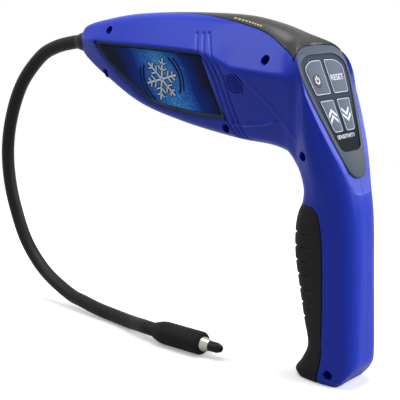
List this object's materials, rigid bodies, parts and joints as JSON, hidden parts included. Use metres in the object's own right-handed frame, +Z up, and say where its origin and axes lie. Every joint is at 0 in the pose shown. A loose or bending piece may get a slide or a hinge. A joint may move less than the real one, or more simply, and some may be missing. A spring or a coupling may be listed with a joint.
{
  "type": "refrigerant leak detector",
  "caption": "Pistol-shaped hand-held refrigerant leak detector with a sloped rear keypad, a ribbed rubber grip and a bendable neck ending in a sensing tip.",
  "frame": {"origin": "middle of the flat base of the grip", "axes": "+Z up along the grip, -X towards the nose and probe, +X towards the keypad, -Y the left side with the side window"},
  "size_m": [0.3592, 0.0636, 0.238],
  "materials": {
    "housing_blue": "satin moulded",
    "screw_steel": "zinc plated",
    "grip_rubber": "matt",
    "smoked_window": "gloss",
    "bezel_grey": "satin",
    "key_grey": "satin",
    "circuit_board": "solder mask",
    "contact_steel": "nickel plated",
    "frame_grey": "gloss",
    "label_print": "gloss print",
    "black_plastic": "satin",
    "led_red": "clear tinted",
    "cell_metal": "sleeved",
    "neck_rubber": "matt",
    "collar_aluminium": "turned"
  },
  "bodies": {
    "housing": {"left_housing": "housing_blue", "right_housing": "housing_blue", "housing_screws": "screw_steel", "grip_pad": "grip_rubber", "top_window": "smoked_window", "keypad_bezel": "bezel_grey", "keypad_board": "circuit_board", "key_domes": "contact_steel", "label_frame": "frame_grey", "label_panel": "label_print", "main_board": "circuit_board", "board_parts": "black_plastic", "buzzer": "black_plastic", "indicator_leds": "led_red", "battery_cells": "cell_metal", "battery_springs": "contact_steel", "battery_contact": "contact_steel", "nose_gland": "black_plastic", "gooseneck": "neck_rubber", "probe_sleeve": "neck_rubber", "probe_collar": "collar_aluminium", "sensor_element": "contact_steel", "probe_tip": "black_plastic"},
    "power_key": {"power_key": "key_grey"},
    "reset_key": {"reset_key": "key_grey"},
    "sensitivity_up_key": {"sensitivity_up_key": "key_grey"},
    "sensitivity_down_key": {"sensitivity_down_key": "key_grey"},
    "battery_door": {"battery_door": "housing_blue"}
  },
  "joints": [
    {"name": "power_press", "type": "slide", "parent": "housing", "child": "power_key", "axis": [-0.9259, 0, -0.3778], "range_m": [0, 0.0006], "stiffness_N_per_m": 3000},
    {"name": "reset_press", "type": "slide", "parent": "housing", "child": "reset_key", "axis": [-0.9259, 0, -0.3778], "range_m": [0, 0.0006], "stiffness_N_per_m": 3000},
    {"name": "sensitivity_up_press", "type": "slide", "parent": "housing", "child": "sensitivity_up_key", "axis": [-0.9259, 0, -0.3778], "range_m": [0, 0.0006], "stiffness_N_per_m": 3000},
    {"name": "sensitivity_down_press", "type": "slide", "parent": "housing", "child": "sensitivity_down_key", "axis": [-0.9259, 0, -0.3778], "range_m": [0, 0.0006], "stiffness_N_per_m": 3000},
    {"name": "battery_door_pull", "type": "slide", "parent": "housing", "child": "battery_door", "axis": [0.1822, 0.9833, 0], "range_m": [0, 0.018]}
  ]
}
